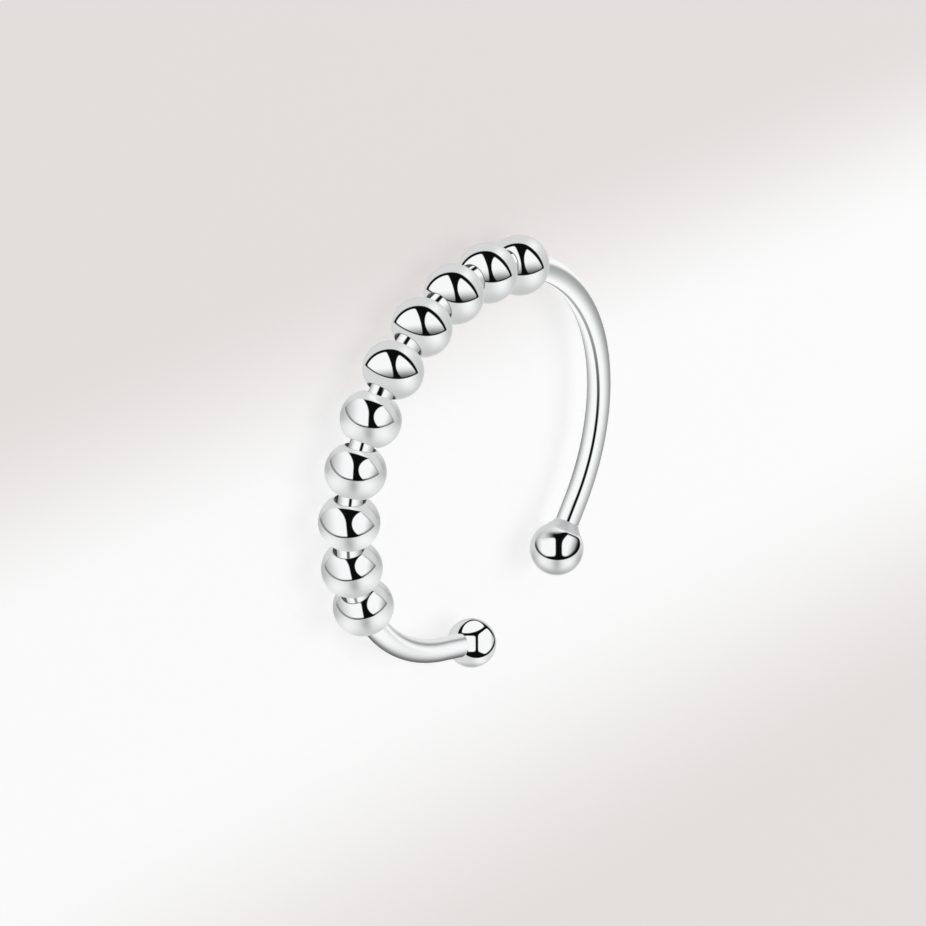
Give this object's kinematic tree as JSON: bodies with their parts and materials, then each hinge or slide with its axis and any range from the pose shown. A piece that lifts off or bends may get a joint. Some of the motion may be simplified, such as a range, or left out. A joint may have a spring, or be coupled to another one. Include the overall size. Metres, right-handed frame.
{
  "type": "spinner ring",
  "caption": "Open finger ring of polished round wire with a ball on each end and a row of round beads that spin on the wire.",
  "frame": {"origin": "middle of the ring, on the plane of the wire's centre line", "axes": "+Z along the ring's axis, up as the ring lies on its side; the gap in the wire faces -Y and the ball with the neck is on its +X side"},
  "size_m": [0.022, 0.0224, 0.003],
  "materials": {
    "band": "polished silver",
    "bead": "polished silver"
  },
  "bodies": {
    "band": {"band": "band"},
    "bead_01": {"bead_01": "bead"},
    "bead_02": {"bead_02": "bead"},
    "bead_03": {"bead_03": "bead"},
    "bead_04": {"bead_04": "bead"},
    "bead_05": {"bead_05": "bead"},
    "bead_06": {"bead_06": "bead"},
    "bead_07": {"bead_07": "bead"},
    "bead_08": {"bead_08": "bead"},
    "bead_09": {"bead_09": "bead"},
    "bead_10": {"bead_10": "bead"}
  },
  "joints": [
    {"name": "bead_01_spin", "type": "hinge", "parent": "band", "child": "bead_01", "pos_m": [0.0061, 0.00788, 0], "axis": [-0.7904, 0.6126, 0], "continuous": true},
    {"name": "bead_02_spin", "type": "hinge", "parent": "band", "child": "bead_02", "pos_m": [0.00385, 0.00919, 0], "axis": [-0.9224, 0.3862, 0], "continuous": true},
    {"name": "bead_03_spin", "type": "hinge", "parent": "band", "child": "bead_03", "pos_m": [0.00133, 0.00988, 0], "axis": [-0.9911, 0.1332, 0], "continuous": true},
    {"name": "bead_04_spin", "type": "hinge", "parent": "band", "child": "bead_04", "pos_m": [-0.00128, 0.00988, 0], "axis": [-0.9917, -0.1289, 0], "continuous": true},
    {"name": "bead_05_spin", "type": "hinge", "parent": "band", "child": "bead_05", "pos_m": [-0.00381, 0.00921, 0], "axis": [-0.9241, -0.3822, 0], "continuous": true},
    {"name": "bead_06_spin", "type": "hinge", "parent": "band", "child": "bead_06", "pos_m": [-0.00607, 0.0079, 0], "axis": [-0.793, -0.6092, 0], "continuous": true},
    {"name": "bead_07_spin", "type": "hinge", "parent": "band", "child": "bead_07", "pos_m": [-0.00791, 0.00605, 0], "axis": [-0.6075, -0.7943, 0], "continuous": true},
    {"name": "bead_08_spin", "type": "hinge", "parent": "band", "child": "bead_08", "pos_m": [-0.00922, 0.00379, 0], "axis": [-0.3802, -0.9249, 0], "continuous": true},
    {"name": "bead_09_spin", "type": "hinge", "parent": "band", "child": "bead_09", "pos_m": [-0.00988, 0.00126, 0], "axis": [-0.1268, -0.9919, 0], "continuous": true},
    {"name": "bead_10_spin", "type": "hinge", "parent": "band", "child": "bead_10", "pos_m": [-0.00987, -0.00135, 0], "axis": [0.1353, -0.9908, 0], "continuous": true}
  ]
}
